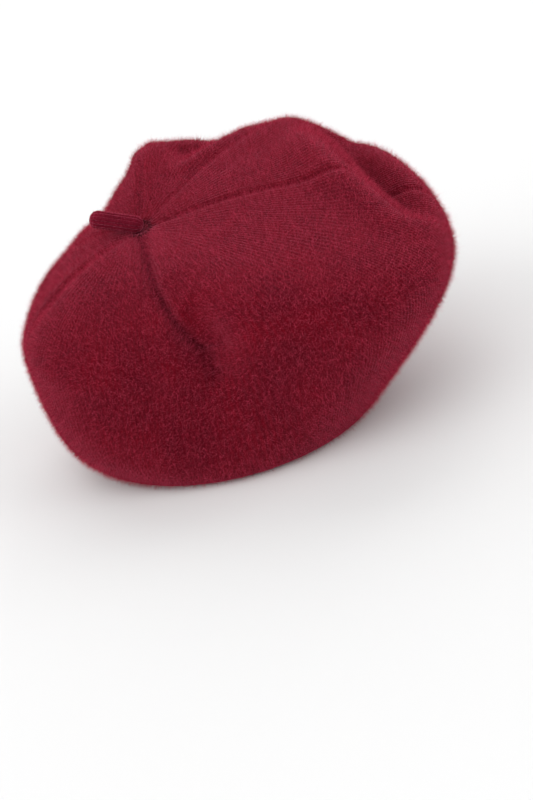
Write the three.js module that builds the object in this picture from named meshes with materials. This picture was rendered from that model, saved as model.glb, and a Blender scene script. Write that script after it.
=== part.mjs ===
// A knitted, brushed wool beret as it sits on a head, built in millimetres with +Z up.
// The origin is the centre of the head opening, in the plane that the turned hem rests on.
// Every wall is a layer of one shared surface. A point on it is given by its azimuth about the
// stalk root (0 is +X, counter-clockwise) and by its station: 0 at the root, 1 at the rim where
// the crown turns down into the side, and 2 at the hem.
import * as THREE from 'three';

// ---- driving dimensions ----

const HEM_HALF_WIDTH = 87;
const HEM_HALF_DEPTH = 85;
const ROOT = new THREE.Vector3(-26, 27, 114);

// Each row holds one value for each twelfth of a turn, from +X round through +Y.
const RIM_REACH = [166, 154, 121, 90, 78, 75, 81, 92, 103, 100, 139, 177];
const RIM_HEIGHT = [94, 106, 116, 114, 90, 82, 71, 72, 64, 66, 75, 76];
const SHOULDER_HEIGHT = [35, 39, 38, 34, 27, 26, 22, 22, 22, 22, 22, 26];
const CENTRE_RISE = [19, 26, 24, 18, 9, 6, 3, 1, 0, 2, 0, 8];
const HEM_FLARE = [11, 8, 8, 8, 8, 8, 10, 20, 24, 13, 13, 13];

const SIDE_BELLY = 27;
const HEM_LIFT = 21;
const CENTRE_HANDLE = 0.42;

// The six linked seams: azimuth in degrees, and depth and half width of the valley they pull in.
// Gore number n lies between seams n and n + 1.
const SEAMS = [
  [275.2, 4.6, 3.8],
  [351, 1.3, 2.4],
  [36, 0.8, 2.6],
  [79, 1.4, 3],
  [142, 1.4, 2.6],
  [205, 2.4, 4],
];
const SEAM_START = 14;
// The front seam swings round by this many degrees on its way from the stalk to the side.
const FRONT_SEAM_SWAY = 9.2;
const CLOSING_SEAM = 79;

// Folds of the loose crown, as curves in plan. A negative height is a groove.
const FOLDS = [
  // the crest of the loose crown on the right, and the groove behind it
  { from: [78, 108], via: [78, 20], to: [118, -54], width: 13, height: 6.5 },
  { from: [106, 84], via: [116, 10], to: [126, -38], width: 12, height: -13 },
  // the soft ridge that runs to the far peak, and the hollow behind it
  { from: [0, 66], via: [26, 78], to: [72, 112], width: 9, height: 4.5 },
  { from: [4, 92], via: [22, 98], to: [44, 112], width: 11, height: -6 },
  // the pocket beside the front seam, near its lower end
  { from: [-14, -56], via: [-6, -76], to: [4, -92], width: 9, height: -7 },
  // the wide valley that the front seam lies in
  { from: [-20, -36], via: [-13, -80], to: [-4, -132], width: 13, height: -4 },
  // the crease down the left
  { from: [-58, 14], via: [-78, 0], to: [-98, -14], width: 5, height: -3.4 },
];

// Swells and dips of the crown and side: azimuth and half width in degrees, station and half width.
const SWELLS = [
  // the far left bulge, the far peak with a dip on either side, and the hollow behind the stalk
  { azimuth: 118, turn: 9, station: 0.92, spread: 0.3, height: 7 },
  { azimuth: 62, turn: 9, station: 0.85, spread: 0.3, height: 3 },
  { azimuth: 93, turn: 12, station: 0.92, spread: 0.3, height: -9 },
  { azimuth: 150, turn: 16, station: 0.6, spread: 0.3, height: -2.5 },
  { azimuth: 33, turn: 8, station: 0.64, spread: 0.25, height: 4 },
  { azimuth: 55, turn: 10, station: 0.7, spread: 0.28, height: -6.5 },
  { azimuth: 79, turn: 7, station: 0.62, spread: 0.25, height: 6.5 },
  { azimuth: 114, turn: 12, station: 0.68, spread: 0.25, height: -6 },
  { azimuth: 22, turn: 6, station: 0.8, spread: 0.25, height: -3 },
  // the pocket beside the lower end of the front seam, and the fuller cloth on its other side
  { azimuth: 282, turn: 4.5, station: 1.12, spread: 0.12, height: -5 },
  { azimuth: 270, turn: 6, station: 1.05, spread: 0.2, height: 2.5 },
  // the right side, which turns under sooner than the rest
  { azimuth: 331, turn: 16, station: 1.3, spread: 0.3, height: -2 },
];

const FABRIC = 2.5;
const SEAM_GAP = 0.5;
const STEPS_ACROSS = 12;
const TIP_HOLE_RADIUS = 4.6;
const GORE_END = 0.985;
const SIDE_START = 1.015;

const HEM_FOLD_WIDTH = 7.2;
const HEM_FOLD_THICKNESS = 2.2;
// Layers inside the hem: heights above the hem plane, and depths inside the outer face.
const FACING = { top: 28, low: 3.6, outer: 5.0, inner: 7.2 };
const ELASTIC = { top: 14, low: 6, outer: 3.1, inner: 4.4 };
const HEM_THREAD = { height: 29.6, depth: 4.6, radius: 0.6 };
const SEAM_THREAD = { depth: 4.0, radius: 0.55 };

const STALK_RADIUS = 5.2;
const STALK_LENGTH = 28;
const STALK_CLEARANCE = 0.5;
const STALK_LEAN = new THREE.Vector3(-25.3, 8, 10.2).normalize();
const STALK_STITCH = { reach: 7.4, lift: 1.2, radius: 0.6, open: 55 };
// Inside the crown, under the stalk: distances below the root.
const TIP_THREAD = { reach: 7, radius: 0.6, below: 6.2 };
const KNOT = { radius: 2.4, below: 8.1 };

// ---- the shared surface ----

const DEGREES = Math.PI / 180;

/** Smooth periodic curve through values set at equal steps of azimuth. */
function compass(values, azimuth) {
  const count = values.length;
  let sum = 0;
  values.forEach((value, index) => {
    const offset = azimuth - (2 * Math.PI * index) / count;
    let weight = 1 + Math.cos((count / 2) * offset);
    for (let wave = 1; wave < count / 2; wave += 1) weight += 2 * Math.cos(wave * offset);
    sum += (value * weight) / count;
  });
  return sum;
}

/** Point on a cubic curve with two end points and two handles. */
function cubic(start, handle1, handle2, end, t) {
  return new THREE.CubicBezierCurve3(start, handle1, handle2, end).getPoint(t);
}

/** The surface before its seams and folds are pressed in. */
function basePoint(azimuth, station) {
  const outward = new THREE.Vector3(Math.cos(azimuth), Math.sin(azimuth), 0);
  const reach = compass(RIM_REACH, azimuth);
  const rim = ROOT.clone().addScaledVector(outward, reach).setZ(compass(RIM_HEIGHT, azimuth));
  if (station <= 1) {
    const handle1 = ROOT.clone().addScaledVector(outward, CENTRE_HANDLE * reach);
    handle1.z += compass(CENTRE_RISE, azimuth);
    const handle2 = rim.clone();
    handle2.z += compass(SHOULDER_HEIGHT, azimuth);
    return cubic(ROOT, handle1, handle2, rim, station);
  }
  const bearing = Math.atan2(rim.y, rim.x);
  const away = new THREE.Vector3(Math.cos(bearing), Math.sin(bearing), 0);
  const hemReach = 1 / Math.hypot(away.x / HEM_HALF_WIDTH, away.y / HEM_HALF_DEPTH);
  const hem = away.clone().multiplyScalar(hemReach);
  const handle1 = rim.clone();
  handle1.z -= SIDE_BELLY;
  const handle2 = hem.clone().addScaledVector(away, compass(HEM_FLARE, azimuth));
  handle2.z += HEM_LIFT;
  return cubic(rim, handle1, handle2, hem, station - 1);
}

/** Station on the side at a height above the hem plane, found by halving. */
function sideStation(azimuth, height) {
  let upper = 1;
  let lower = 2;
  for (let i = 0; i < 20; i += 1) {
    const middle = (upper + lower) / 2;
    if (basePoint(azimuth, middle).z > height) upper = middle;
    else lower = middle;
  }
  return lower;
}

/** Unit normal, facing out of the hat, of any surface given as a function of azimuth and station. */
function outwardNormal(surface, azimuth, station) {
  const step = 0.004;
  const low = Math.max(station - step, 0.002);
  const high = Math.min(station + step, 2);
  const along = surface(azimuth, high).sub(surface(azimuth, low));
  const across = surface(azimuth + step, station).sub(surface(azimuth - step, station));
  return across.cross(along).normalize().negate();
}

/** Azimuth of a seam at a station. */
function seamAzimuth(number, station) {
  const sway = number === 0 ? THREE.MathUtils.smoothstep(station, 0.35, 1.2) - 0.5 : 0;
  return (SEAMS[number][0] + FRONT_SEAM_SWAY * sway) * DEGREES;
}

/** The azimuths, at a station, of the two seams that a gore lies between. */
function goreSpan(number, station) {
  const start = seamAzimuth(number, station);
  const end = seamAzimuth((number + 1) % SEAMS.length, station);
  return [start, end < start ? end + 2 * Math.PI : end];
}

/** Signed angle from one azimuth to another, between minus and plus half a turn. */
function turnFrom(azimuth, other) {
  return Math.atan2(Math.sin(azimuth - other), Math.cos(azimuth - other));
}

/** Distance in plan from the stalk root to a point of the crown. */
function planReach(azimuth, station) {
  const t = Math.min(station, 1);
  const rest = 1 - t;
  return compass(RIM_REACH, azimuth) * t * (3 * CENTRE_HANDLE * rest * rest + 3 * t * rest + t * t);
}

/** 1 along a fold's curve in plan, fading to 0 beside it and towards its two ends. */
function foldWeight(point, fold) {
  const curve = new THREE.QuadraticBezierCurve(
    new THREE.Vector2(...fold.from),
    new THREE.Vector2(...fold.via),
    new THREE.Vector2(...fold.to),
  );
  const line = curve.getPoints(13);
  const spot = new THREE.Vector2(point.x, point.y);
  let nearest = Infinity;
  let share = 0;
  for (let i = 0; i + 1 < line.length; i += 1) {
    const step = line[i + 1].clone().sub(line[i]);
    const along = THREE.MathUtils.clamp(spot.clone().sub(line[i]).dot(step) / step.lengthSq(), 0, 1);
    const gap = line[i].clone().addScaledVector(step, along).distanceTo(spot);
    if (gap < nearest) {
      nearest = gap;
      share = (i + along) / (line.length - 1);
    }
  }
  return Math.exp(-((nearest / fold.width) ** 2)) * Math.max(Math.sin(Math.PI * share), 0) ** 0.7;
}

/** How far the seams, folds and swells move the surface out (or in) at a point. */
function press(azimuth, station, point) {
  const reach = planReach(azimuth, station);
  const onCrown = 1 - THREE.MathUtils.smoothstep(station, 0.97, 1.1);
  let total = 0;
  // the seams are shallow where they meet under the stalk
  const aboveRim = 1 - THREE.MathUtils.smoothstep(station, 1.12, 1.24);
  const awayFromRoot = 1 - Math.exp(-((reach / SEAM_START) ** 2));
  SEAMS.forEach(([, depth, width], number) => {
    const distance = reach * Math.abs(turnFrom(azimuth, seamAzimuth(number, station)));
    total -= depth * aboveRim * awayFromRoot * Math.exp(-((distance / width) ** 2));
  });
  if (onCrown > 0) {
    FOLDS.forEach((fold) => {
      total += fold.height * onCrown * foldWeight(point, fold);
    });
  }
  SWELLS.forEach((swell) => {
    const across = turnFrom(azimuth, swell.azimuth * DEGREES) / (swell.turn * DEGREES);
    const along = (station - swell.station) / swell.spread;
    total += swell.height * Math.exp(-(across ** 2) - along ** 2);
  });
  return total;
}

/** The finished outer face of the knitted fabric. */
function outerPoint(azimuth, station) {
  const point = basePoint(azimuth, station);
  const normal = outwardNormal(basePoint, azimuth, station);
  return point.clone().addScaledVector(normal, press(azimuth, station, point));
}

/** A point at a depth inside the outer face. */
function layerPoint(azimuth, station, depth) {
  const normal = outwardNormal(outerPoint, azimuth, station);
  return outerPoint(azimuth, station).addScaledVector(normal, -depth);
}

// ---- mesh builders ----

/** Mesh geometry from points and quads; a quad is four point numbers, counter-clockwise from outside. */
function solidFromQuads(points, quads) {
  const geometry = new THREE.BufferGeometry();
  geometry.setAttribute(
    'position',
    new THREE.Float32BufferAttribute(points.flatMap((p) => [p.x, p.y, p.z]), 3),
  );
  geometry.setIndex(quads.flatMap(([a, b, c, d]) => (d === undefined ? [a, b, c] : [a, b, c, a, c, d])));
  return geometry;
}

/** The azimuths that every ring is built on: the gores' own at the rim, so that neighbours meet. */
const RING_AZIMUTHS = SEAMS.flatMap((_, number) => {
  const [start, end] = goreSpan(number, 1);
  return Array.from({ length: STEPS_ACROSS }, (_unused, i) => start + ((end - start) * i) / STEPS_ACROSS);
});

/** Quads that join each closed section to the one after it, for a number of steps. */
function wallQuads(sections, steps) {
  const sides = sections[0].length;
  const quads = [];
  for (let i = 0; i < steps; i += 1) {
    const next = (i + 1) % sections.length;
    for (let k = 0; k < sides; k += 1) {
      const after = (k + 1) % sides;
      quads.push([i * sides + k, i * sides + after, next * sides + after, next * sides + k]);
    }
  }
  return quads;
}

/** Closed ring made by carrying a closed section once round the hat. */
function ringSolid(sectionAt) {
  const sections = RING_AZIMUTHS.map((azimuth) => sectionAt(azimuth));
  return solidFromQuads(sections.flat(), wallQuads(sections, sections.length));
}

/** Closed bar through a list of sections, capped at both ends. */
function barSolid(sections) {
  const sides = sections[0].length;
  const quads = wallQuads(sections, sections.length - 1);
  const last = (sections.length - 1) * sides;
  for (let k = 1; k + 1 < sides; k += 1) {
    quads.push([0, k + 1, k]);
    quads.push([last, last + k, last + k + 1]);
  }
  return solidFromQuads(sections.flat(), quads);
}

/** Closed slab of fabric over a patch of the surface, between two depths. */
function slabSolid(gridAt, stationCount, acrossSteps, outerDepth, innerDepth) {
  const sections = spread(0, 1, acrossSteps + 1).map((share) => {
    const spots = Array.from({ length: stationCount }, (_, row) => gridAt(row, share));
    return [
      ...spots.map(([azimuth, station]) => layerPoint(azimuth, station, outerDepth)),
      ...spots.reverse().map(([azimuth, station]) => layerPoint(azimuth, station, innerDepth)),
    ];
  });
  return slabFromSections(sections, stationCount);
}

/** Joins the sections of a slab, and closes its two end sections with strips of quads. */
function slabFromSections(sections, stationCount) {
  const sides = sections[0].length;
  const quads = wallQuads(sections, sections.length - 1);
  const last = (sections.length - 1) * sides;
  for (let k = 0; k + 1 < stationCount; k += 1) {
    const facing = sides - 1 - k;
    quads.push([k, facing, facing - 1, k + 1]);
    quads.push([last + k, last + k + 1, last + facing - 1, last + facing]);
  }
  return solidFromQuads(sections.flat(), quads);
}

/** Round thread or tube through a list of points. */
function threadSolid(points, radius, sides) {
  const path = new THREE.CatmullRomCurve3(points);
  const section = new THREE.Shape();
  section.absarc(0, 0, radius, 0, 2 * Math.PI, false);
  return new THREE.ExtrudeGeometry(section, {
    steps: points.length - 1,
    extrudePath: path,
    curveSegments: sides,
    bevelEnabled: false,
  });
}

/** Even values from one number to another, both included. */
function spread(from, to, count) {
  return Array.from({ length: count }, (_, i) => from + ((to - from) * i) / (count - 1));
}

// ---- materials ----

const wool = new THREE.MeshStandardMaterial({ color: 0x7a1226, roughness: 0.95, metalness: 0 });
const stalkWool = new THREE.MeshStandardMaterial({ color: 0x5c0e20, roughness: 0.95, metalness: 0 });
const thread = new THREE.MeshStandardMaterial({ color: 0x4f0b1a, roughness: 0.85, metalness: 0 });
const elasticTape = new THREE.MeshStandardMaterial({ color: 0x3a1a20, roughness: 0.8, metalness: 0 });
const labelTape = new THREE.MeshStandardMaterial({ color: 0xe6e0d4, roughness: 0.7, metalness: 0 });

// ---- the pieces ----

const beret = new THREE.Group();

function addPiece(name, geometry, material) {
  const mesh = new THREE.Mesh(geometry, material);
  mesh.name = name;
  beret.add(mesh);
  return mesh;
}

const GORE_STATIONS = [0, ...spread(0.06, 0.96, 19), GORE_END];

/** Station of the crown at a small distance in plan from the stalk root. */
function stationNearRoot(azimuth, distance) {
  return distance / (3 * CENTRE_HANDLE * compass(RIM_REACH, azimuth));
}

/** Spots across a gore, from seam to seam less a gap at each, and from the hole at the tips to the rim. */
function goreGrid(number) {
  const inset = (azimuth, station) => Math.asin(Math.min(SEAM_GAP / planReach(azimuth, station), 0.5));
  return (row, share) => {
    const middle = THREE.MathUtils.lerp(...goreSpan(number, GORE_STATIONS[row]), share);
    const station = Math.max(GORE_STATIONS[row], stationNearRoot(middle, TIP_HOLE_RADIUS));
    const [start, end] = goreSpan(number, station);
    const azimuth = THREE.MathUtils.lerp(start + inset(start, station), end - inset(end, station), share);
    return [azimuth, station];
  };
}

function crownGore(number) {
  return slabSolid(goreGrid(number), GORE_STATIONS.length, STEPS_ACROSS, 0, FABRIC);
}

SEAMS.forEach((_, number) => addPiece(`crown_gore_${number + 1}`, crownGore(number), wool));

const SIDE_STATIONS = [SIDE_START, 1.06, 1.12, 1.2, 1.3, 1.4, 1.5, 1.62, 1.75, 1.88];

/** The side, with its lower edge folded under and inward onto a flat foot. */
function sidePanelSection(azimuth) {
  const outer = SIDE_STATIONS.map((station) => layerPoint(azimuth, station, 0));
  const inner = SIDE_STATIONS.map((station) => layerPoint(azimuth, station, FABRIC)).reverse();
  const hem = basePoint(azimuth, 2);
  const inward = new THREE.Vector3(-hem.x, -hem.y, 0).normalize();
  const foldPoint = (distance, height) => hem.clone().addScaledVector(inward, distance).setZ(height);
  const fold = [
    foldPoint(0, 1.2),
    foldPoint(1.2, 0),
    foldPoint(HEM_FOLD_WIDTH - 1.2, 0),
    foldPoint(HEM_FOLD_WIDTH, 1.2),
    foldPoint(HEM_FOLD_WIDTH, 3),
    foldPoint(HEM_FOLD_WIDTH - HEM_FOLD_THICKNESS, 3),
    foldPoint(HEM_FOLD_WIDTH - HEM_FOLD_THICKNESS, HEM_FOLD_THICKNESS),
    foldPoint(FABRIC, HEM_FOLD_THICKNESS),
  ];
  return [...outer, ...fold, ...inner];
}

addPiece('side_panel', ringSolid(sidePanelSection), wool);

/** Band that follows the surface all the way round between two depths. */
function bandSolid({ top, low, outer, inner }, rows) {
  return ringSolid((azimuth) => {
    const stations = spread(top, low, rows).map((height) => sideStation(azimuth, height));
    return [
      ...stations.map((station) => layerPoint(azimuth, station, outer)),
      ...stations.reverse().map((station) => layerPoint(azimuth, station, inner)),
    ];
  });
}

addPiece('headband_facing', bandSolid(FACING, 4), wool);
addPiece('headband_elastic', bandSolid(ELASTIC, 2), elasticTape);

/** Thread that runs round the hat at one height. */
function roundThread({ height, depth, radius }) {
  const sides = 5;
  return ringSolid((azimuth) => spread(0, 2 * Math.PI * (1 - 1 / sides), sides).map((angle) => {
    const station = sideStation(azimuth, height - radius * Math.sin(angle));
    return layerPoint(azimuth, station, depth - radius * Math.cos(angle));
  }));
}

addPiece('hem_linking_thread', roundThread(HEM_THREAD), thread);

/** Thread that runs down the hat along a seam: a three-sided bar inside the fabric. */
function meridianThread(azimuthAt, stations) {
  const { depth, radius } = SEAM_THREAD;
  return barSolid(stations.map((station) => {
    const azimuth = azimuthAt(station);
    const turn = radius / planReach(azimuth, station);
    return [
      layerPoint(azimuth, station, depth - radius),
      layerPoint(azimuth - turn, station, depth + radius),
      layerPoint(azimuth + turn, station, depth + radius),
    ];
  }));
}

const seamStations = GORE_STATIONS.filter((station) => station > 0.08 && station < 0.98);
SEAMS.forEach((_, number) => {
  const seamThread = meridianThread((station) => seamAzimuth(number, station), seamStations);
  addPiece(`gore_seam_thread_${number + 1}`, seamThread, thread);
});
const closingStations = SIDE_STATIONS.filter((station) => station < 1.55);
addPiece('closing_seam_thread', meridianThread(() => CLOSING_SEAM * DEGREES, closingStations), thread);

// The stalk turns about a pivot at the centre of its round root, just above the crown.
const pivot = ROOT.clone();
pivot.z += STALK_RADIUS + STALK_CLEARANCE;

function stalkGeometry() {
  const profile = [new THREE.Vector2(0, -STALK_RADIUS)];
  spread(-75, 0, 5).forEach((angle) => {
    profile.push(new THREE.Vector2(
      STALK_RADIUS * Math.cos(angle * DEGREES),
      STALK_RADIUS * Math.sin(angle * DEGREES),
    ));
  });
  profile.push(new THREE.Vector2(STALK_RADIUS * 0.93, STALK_LENGTH * 0.45));
  const tipCentre = STALK_LENGTH - STALK_RADIUS;
  spread(0, 75, 5).forEach((angle) => {
    profile.push(new THREE.Vector2(
      STALK_RADIUS * 0.98 * Math.cos(angle * DEGREES),
      tipCentre + STALK_RADIUS * Math.sin(angle * DEGREES),
    ));
  });
  profile.push(new THREE.Vector2(0, STALK_LENGTH));
  return new THREE.LatheGeometry(profile, 16);
}

const stalk = addPiece('stalk', stalkGeometry(), stalkWool);
stalk.position.copy(pivot);
stalk.quaternion.setFromUnitVectors(new THREE.Vector3(0, 1, 0), STALK_LEAN);

/** Stitches that hold the stalk down: an open ring round its root. */
function stalkStitches() {
  const opening = Math.atan2(STALK_LEAN.y, STALK_LEAN.x);
  const { reach, lift, radius, open } = STALK_STITCH;
  const points = spread(opening + open * DEGREES, opening + (360 - open) * DEGREES, 16)
    .map((azimuth) => layerPoint(azimuth, stationNearRoot(azimuth, reach), -lift));
  return threadSolid(points, radius, 3);
}

addPiece('stalk_root_stitches', stalkStitches(), thread);

/** Thread drawn through the six gore tips to close the crown. */
function tipGatheringThread() {
  const ring = new THREE.TorusGeometry(TIP_THREAD.reach, TIP_THREAD.radius, 5, 16);
  ring.translate(ROOT.x, ROOT.y, ROOT.z - TIP_THREAD.below);
  return ring;
}

addPiece('tip_gathering_thread', tipGatheringThread(), thread);

/** End of the yarn, knotted inside the crown under the stalk. */
function yarnTailKnot() {
  const knot = new THREE.IcosahedronGeometry(KNOT.radius, 1);
  knot.translate(ROOT.x, ROOT.y, ROOT.z - KNOT.below);
  return knot;
}

addPiece('yarn_tail_knot', yarnTailKnot(), thread);

// ---- labels, on the inner face of the turned-in band ----

const LABEL_AZIMUTH = 79 * DEGREES;
const MAKER_LABEL = { halfAngle: 14 * DEGREES, top: 24, low: 9, outer: 7.6, inner: 8.2 };

function makerLabel() {
  const { halfAngle, top, low, outer, inner } = MAKER_LABEL;
  const heights = spread(top, low, 3);
  const spot = (row, share) => {
    const azimuth = LABEL_AZIMUTH + halfAngle * (2 * share - 1);
    return [azimuth, sideStation(azimuth, heights[row])];
  };
  return slabSolid(spot, heights.length, 8, outer, inner);
}

addPiece('maker_label', makerLabel(), labelTape);

[-1, 1].forEach((side) => {
  const azimuth = LABEL_AZIMUTH + side * (MAKER_LABEL.halfAngle - 1.2 * DEGREES);
  const points = spread(MAKER_LABEL.top - 1, MAKER_LABEL.low + 1, 6)
    .map((height) => layerPoint(azimuth, sideStation(azimuth, height), MAKER_LABEL.inner + 0.6));
  addPiece(`label_stitch_${side < 0 ? 'right' : 'left'}`, threadSolid(points, 0.25, 3), thread);
});

// The care label is a loose flap that hangs from its sewn upper edge and turns about that edge.
const CARE_AZIMUTH = 185 * DEGREES;
const CARE_LABEL = { width: 18, thickness: 0.6, top: 25, low: 7, topDepth: 9.6, lowDepth: 11.4 };

function careLabel() {
  const spot = (height, turn, depth) => {
    const azimuth = CARE_AZIMUTH + turn;
    return layerPoint(azimuth, sideStation(azimuth, height), depth);
  };
  const top = spot(CARE_LABEL.top, 0, CARE_LABEL.topDepth);
  const low = spot(CARE_LABEL.low, 0, CARE_LABEL.lowDepth);
  const length = top.distanceTo(low);
  const down = low.clone().sub(top).normalize();
  const [ahead, behind] = [0.05, -0.05].map((turn) => spot(CARE_LABEL.top, turn, CARE_LABEL.topDepth));
  const face = ahead.sub(behind).cross(down).normalize();
  const flap = new THREE.BoxGeometry(CARE_LABEL.width, length, CARE_LABEL.thickness, 4, 6, 1);
  flap.translate(0, length / 2, 0);
  const mesh = addPiece('care_label', flap, labelTape);
  mesh.position.copy(top);
  const axes = new THREE.Matrix4().makeBasis(down.clone().cross(face), down, face);
  mesh.quaternion.setFromRotationMatrix(axes);
}

careLabel();

export default beret;
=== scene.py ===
"""A brushed wool beret, standing on its folded hem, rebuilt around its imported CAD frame.

Everything is in metres in the frame's own axes. The knitted fabric is one shared surface, the
same that the CAD part is built on: a point of it is given by its azimuth about the stalk root
(0 is +X, counter-clockwise) and its station (0 at the root, 1 at the rim, 2 at the hem).
"""

import math
from functools import partial

import bpy
import numpy as np
from mathutils import Matrix, Vector


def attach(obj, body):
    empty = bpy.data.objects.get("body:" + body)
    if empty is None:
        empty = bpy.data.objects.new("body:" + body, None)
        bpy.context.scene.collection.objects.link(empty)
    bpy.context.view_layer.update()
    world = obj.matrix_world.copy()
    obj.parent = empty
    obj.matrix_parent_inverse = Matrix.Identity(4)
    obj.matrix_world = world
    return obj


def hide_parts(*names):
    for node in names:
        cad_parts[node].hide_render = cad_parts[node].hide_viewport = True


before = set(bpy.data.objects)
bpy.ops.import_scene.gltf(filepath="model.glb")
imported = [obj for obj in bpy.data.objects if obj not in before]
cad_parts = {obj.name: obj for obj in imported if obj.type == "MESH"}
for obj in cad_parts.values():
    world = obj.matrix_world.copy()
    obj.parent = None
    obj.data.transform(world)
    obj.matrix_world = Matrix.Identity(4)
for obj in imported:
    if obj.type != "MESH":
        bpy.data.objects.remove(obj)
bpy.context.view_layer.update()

MM = 0.001
CROWN, STALK_BODY, CARE_BODY = "crown", "stalk_body", "care_label_body"

# ---- the shared surface: the same driving values as the CAD part, in millimetres ----

HEM_HALF_WIDTH, HEM_HALF_DEPTH = 87.0, 85.0
ROOT = np.array([-26.0, 27.0, 114.0])
RIM_REACH = [166, 154, 121, 90, 78, 75, 81, 92, 103, 100, 139, 177]
RIM_HEIGHT = [94, 106, 116, 114, 90, 82, 71, 72, 64, 66, 75, 76]
SHOULDER_HEIGHT = [35, 39, 38, 34, 27, 26, 22, 22, 22, 22, 22, 26]
CENTRE_RISE = [19, 26, 24, 18, 9, 6, 3, 1, 0, 2, 0, 8]
HEM_FLARE = [11, 8, 8, 8, 8, 8, 10, 20, 24, 13, 13, 13]
SIDE_BELLY, HEM_LIFT = 27.0, 21.0
CENTRE_HANDLE = 0.42

# Seams: azimuth in degrees, and depth and half width of the valley in millimetres.
SEAMS = [
    (275.2, 4.6, 3.8),
    (351, 1.3, 2.4),
    (36, 0.8, 2.6),
    (79, 1.4, 3.0),
    (142, 1.4, 2.6),
    (205, 2.4, 4.0),
]
# The valleys fade in over this distance from the stalk root.
SEAM_START = 14.0
# The front seam swings round by this many degrees on its way from the stalk to the side.
FRONT_SEAM_SWAY = 9.2
# Folds along the crown, in plan: from, via, to, half width and height (a groove is negative).
FOLDS = [
    # the crest of the loose crown on the right, and the groove behind it
    ((78, 108), (78, 20), (118, -54), 13, 6.5),
    ((106, 84), (116, 10), (126, -38), 12, -13.0),
    # the soft ridge that runs to the far peak, and the hollow behind it
    ((0, 66), (26, 78), (72, 112), 9, 4.5),
    ((4, 92), (22, 98), (44, 112), 11, -6.0),
    # the pocket beside the front seam, near its lower end
    ((-14, -56), (-6, -76), (4, -92), 9, -7.0),
    # the wide valley that the front seam lies in
    ((-20, -36), (-13, -80), (-4, -132), 13, -4.0),
    # the crease down the left
    ((-58, 14), (-78, 0), (-98, -14), 5, -3.4),
]
# Swells: azimuth, half width in degrees, station, half width in stations, and height.
SWELLS = [
    # the far left bulge, the far peak with a dip on either side, and the hollow behind the stalk
    (118, 9, 0.92, 0.30, 7.0),
    (62, 9, 0.85, 0.30, 3.0),
    (93, 12, 0.92, 0.30, -9.0),
    (150, 16, 0.60, 0.30, -2.5),
    (33, 8, 0.64, 0.25, 4.0),
    (55, 10, 0.70, 0.28, -6.5),
    (79, 7, 0.62, 0.25, 6.5),
    (114, 12, 0.68, 0.25, -6.0),
    (22, 6, 0.80, 0.25, -3.0),
    # the pocket beside the lower end of the front seam, and the fuller cloth on its other side
    (282, 4.5, 1.12, 0.12, -5.0),
    (270, 6, 1.05, 0.20, 2.5),
    # the right side, which turns under sooner than the rest
    (331, 16, 1.30, 0.30, -2.0),
]


def compass(values, azimuth):
    """Smooth periodic curve through values set at equal steps of azimuth."""
    count = len(values)
    total = 0.0
    for index, value in enumerate(values):
        offset = azimuth - 2 * np.pi * index / count
        weight = 1 + np.cos(count / 2 * offset)
        for wave in range(1, count // 2):
            weight = weight + 2 * np.cos(wave * offset)
        total = total + value * weight / count
    return total


def cubic(start, handle1, handle2, end, t):
    """Point on a cubic curve with two end points and two handles."""
    rest = 1 - t
    return start * rest**3 + 3 * handle1 * rest**2 * t + 3 * handle2 * rest * t**2 + end * t**3


def stack(x, y, z):
    return np.stack(np.broadcast_arrays(x, y, z), -1)


def base_point(azimuth, station):
    """The surface before its seams and folds are pressed in."""
    azimuth, station = np.asarray(azimuth), np.asarray(station)
    reach = compass(RIM_REACH, azimuth)
    height = compass(RIM_HEIGHT, azimuth)
    cos, sin = np.cos(azimuth), np.sin(azimuth)
    rim = stack(ROOT[0] + reach * cos, ROOT[1] + reach * sin, height)
    inner = CENTRE_HANDLE * reach
    handle1 = ROOT + stack(inner * cos, inner * sin, compass(CENTRE_RISE, azimuth))
    handle2 = rim + stack(0.0, 0.0, compass(SHOULDER_HEIGHT, azimuth))
    crown = cubic(ROOT, handle1, handle2, rim, np.clip(station, 0, 1)[..., None])
    bearing = np.arctan2(rim[..., 1], rim[..., 0])
    away = stack(np.cos(bearing), np.sin(bearing), 0.0)
    hem_reach = 1 / np.hypot(away[..., 0] / HEM_HALF_WIDTH, away[..., 1] / HEM_HALF_DEPTH)
    hem = away * hem_reach[..., None]
    down = rim - np.array([0.0, 0.0, SIDE_BELLY])
    lift = hem + away * compass(HEM_FLARE, azimuth)[..., None] + np.array([0.0, 0.0, HEM_LIFT])
    side = cubic(rim, down, lift, hem, np.clip(station - 1, 0, 1)[..., None])
    return np.where((station <= 1)[..., None], crown, side)


def outward_normal(surface, azimuth, station):
    """Unit normal, facing out of the hat, of a surface given as a function."""
    step = 0.004
    low = np.maximum(station - step, 0.002)
    high = np.minimum(station + step, 2.0)
    along = surface(azimuth, high) - surface(azimuth, low)
    across = surface(azimuth + step, station) - surface(azimuth - step, station)
    normal = -np.cross(across, along)
    return normal / np.maximum(np.linalg.norm(normal, axis=-1, keepdims=True), 1e-9)


def unit(vectors):
    return vectors / np.linalg.norm(vectors, axis=-1, keepdims=True)


def turn_from(azimuth, other):
    """Signed angle from one azimuth to another, between minus and plus half a turn."""
    return np.arctan2(np.sin(azimuth - other), np.cos(azimuth - other))


def smoothstep(value, low, high):
    t = np.clip((value - low) / (high - low), 0, 1)
    return t * t * (3 - 2 * t)


def plan_reach(azimuth, station):
    """Distance in plan from the stalk root to a point of the crown."""
    t = np.minimum(station, 1)
    rest = 1 - t
    return compass(RIM_REACH, azimuth) * t * (3 * CENTRE_HANDLE * rest**2 + 3 * t * rest + t * t)


def seam_azimuth(number, station):
    """Azimuth of a seam; the front one swings round a little on its way down."""
    azimuth = np.full(np.shape(station), math.radians(SEAMS[number][0]))
    if number == 0:
        azimuth = azimuth + math.radians(FRONT_SEAM_SWAY) * (smoothstep(station, 0.35, 1.2) - 0.5)
    return azimuth


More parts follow.
